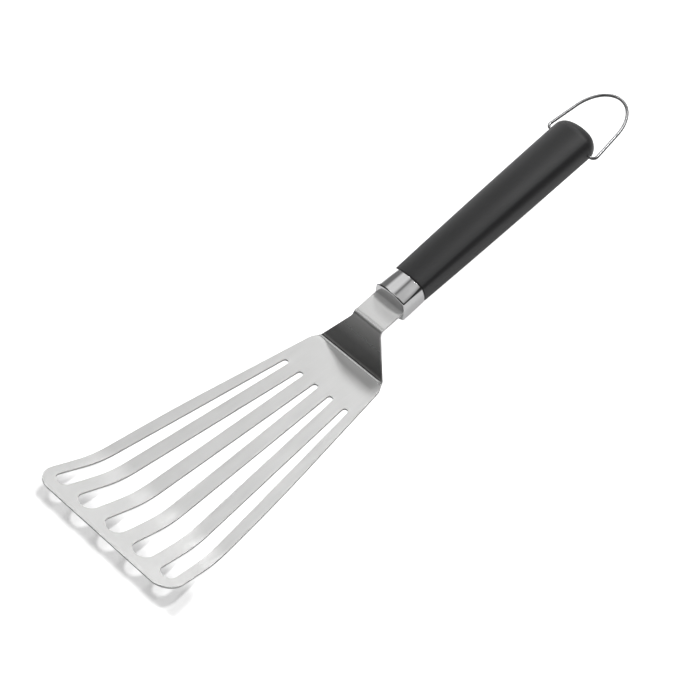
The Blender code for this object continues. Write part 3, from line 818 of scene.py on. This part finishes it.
def ramp(tree, value, start, stop, low=0.0, high=1.0):
    """A soft step from low to high as the value goes from start to stop."""
    node = tree.nodes.new("ShaderNodeMapRange")
    node.interpolation_type = "SMOOTHSTEP"
    for name, amount in (("From Min", start), ("From Max", stop), ("To Min", low), ("To Max", high)):
        node.inputs[name].default_value = amount
    tree.links.new(value, node.inputs["Value"])
    return node.outputs["Result"]


def floor_glow(tree):
    """How strongly the floor glows to the camera: less around the lip's shadow."""
    place = tree.nodes.new("ShaderNodeTexCoord")
    split = tree.nodes.new("ShaderNodeSeparateXYZ")
    tree.links.new(place.outputs["Object"], split.inputs["Vector"])
    across = arithmetic(tree, "ABSOLUTE", split.outputs["X"])
    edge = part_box("blade")[0][1]
    front, rear = edge + SHADOW_FRONT, edge + SHADOW_REAR
    side = SHADOW_HALF_WIDTH + SHADOW_SIDE_FADE
    after_front = ramp(tree, split.outputs["Y"], front - SHADOW_FADE, front)
    before_rear = ramp(tree, split.outputs["Y"], rear, rear + SHADOW_REAR_FADE, 1.0, 0.0)
    beside = ramp(tree, across, SHADOW_HALF_WIDTH, side, 1.0, 0.0)
    along = arithmetic(tree, "MULTIPLY", after_front, before_rear)
    near = arithmetic(tree, "MULTIPLY", along, beside)
    return ramp(tree, near, 0.0, 1.0, FLOOR_GLOW_AROUND, FLOOR_GLOW_AT_BLADE)


def make_floor():
    """A pale floor that is white to the camera and keeps the shadow under the lip."""
    bm = bmesh.new()
    bmesh.ops.create_grid(bm, x_segments=1, y_segments=1, size=FLOOR_HALF_SIZE)
    floor = link(bpy.data.objects.new("floor", mesh_from(bm, "floor")))
    floor.location.z = -FLOOR_BELOW
    material = bpy.data.materials.new("floor")
    material.use_nodes = True
    tree = material.node_tree
    tree.nodes.clear()
    out = tree.nodes.new("ShaderNodeOutputMaterial")
    diffuse = tree.nodes.new("ShaderNodeBsdfDiffuse")
    diffuse.inputs["Color"].default_value = (FLOOR_COLOUR, FLOOR_COLOUR, FLOOR_COLOUR, 1)
    rays = tree.nodes.new("ShaderNodeLightPath")
    seen = arithmetic(tree, "MULTIPLY", rays.outputs["Is Camera Ray"], floor_glow(tree))
    faint = arithmetic(tree, "MULTIPLY", rays.outputs["Is Glossy Ray"], FLOOR_GLOW_IN_REFLECTIONS)
    light = tree.nodes.new("ShaderNodeEmission")
    tree.links.new(arithmetic(tree, "ADD", seen, faint), light.inputs["Strength"])
    both = tree.nodes.new("ShaderNodeAddShader")
    tree.links.new(diffuse.outputs[0], both.inputs[0])
    tree.links.new(light.outputs[0], both.inputs[1])
    tree.links.new(both.outputs[0], out.inputs["Surface"])
    floor.data.materials.append(material)


def studio_light(tree):
    """Strength of the dim dome with its soft bright patches."""
    place = tree.nodes.new("ShaderNodeTexCoord")
    total = DOME
    for azimuth, elevation, reach, edge, strength in PATCHES:
        dot = tree.nodes.new("ShaderNodeVectorMath")
        dot.operation = "DOT_PRODUCT"
        dot.inputs[1].default_value = direction(azimuth, elevation)
        tree.links.new(place.outputs["Generated"], dot.inputs[0])
        outer, inner = cos(radians(reach + edge / 2)), cos(radians(reach - edge / 2))
        patch = ramp(tree, dot.outputs["Value"], outer, inner, 0.0, strength)
        total = arithmetic(tree, "ADD", patch, total)
    return total


def white_background(tree):
    node = tree.nodes.new("ShaderNodeBackground")
    node.inputs["Color"].default_value = (1, 1, 1, 1)
    node.inputs["Strength"].default_value = 1.0
    return node


def make_world():
    """The studio around the object; the camera itself sees plain white."""
    world = bpy.data.worlds.new("studio")
    bpy.context.scene.world = world
    world.use_nodes = True
    tree = world.node_tree
    tree.nodes.clear()
    out = tree.nodes.new("ShaderNodeOutputWorld")
    dome = white_background(tree)
    tree.links.new(studio_light(tree), dome.inputs["Strength"])
    white = white_background(tree)
    rays = tree.nodes.new("ShaderNodeLightPath")
    pick = tree.nodes.new("ShaderNodeMixShader")
    tree.links.new(rays.outputs["Is Camera Ray"], pick.inputs["Fac"])
    tree.links.new(dome.outputs[0], pick.inputs[1])
    tree.links.new(white.outputs[0], pick.inputs[2])
    tree.links.new(pick.outputs[0], out.inputs["Surface"])


def finish_node(node, material):
    """Gives a CAD node that shows its own mesh its material."""
    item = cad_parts[node]
    if not item.material_slots:
        item.data.materials.append(material)
    for slot in item.material_slots:
        slot.material = material


def main():
    make_camera()
    make_floor()
    make_lamps()
    make_world()
    steel = brushed_metal("blade_steel", *STEEL, BLADE_FINISH_AND_PAINTED_SHADE)
    chrome = polished_metal("ferrule_chrome", *CHROME)
    rubber = soft_black("grip_rubber", *RUBBER)
    plastic = soft_black("core_plastic", *PLASTIC)
    pin_steel = brushed_metal("pin_steel", *PIN_STEEL)
    wire = polished_metal("bail_wire", *WIRE)
    skin("blade_skin", blade_mesh(), "tool", "blade", steel)
    skin("ferrule_skin", ferrule_mesh(), "tool", "ferrule", chrome)
    skin("grip_skin", grip_mesh(), "tool", "handle_grip", rubber)
    skin("bail_skin", bail_mesh(), "bail", "bail", wire)
    finish_node("handle_core", plastic)
    finish_node("tang_pin_front", pin_steel)
    finish_node("tang_pin_rear", pin_steel)
    bpy.context.scene.view_settings.view_transform = "Standard"


main()
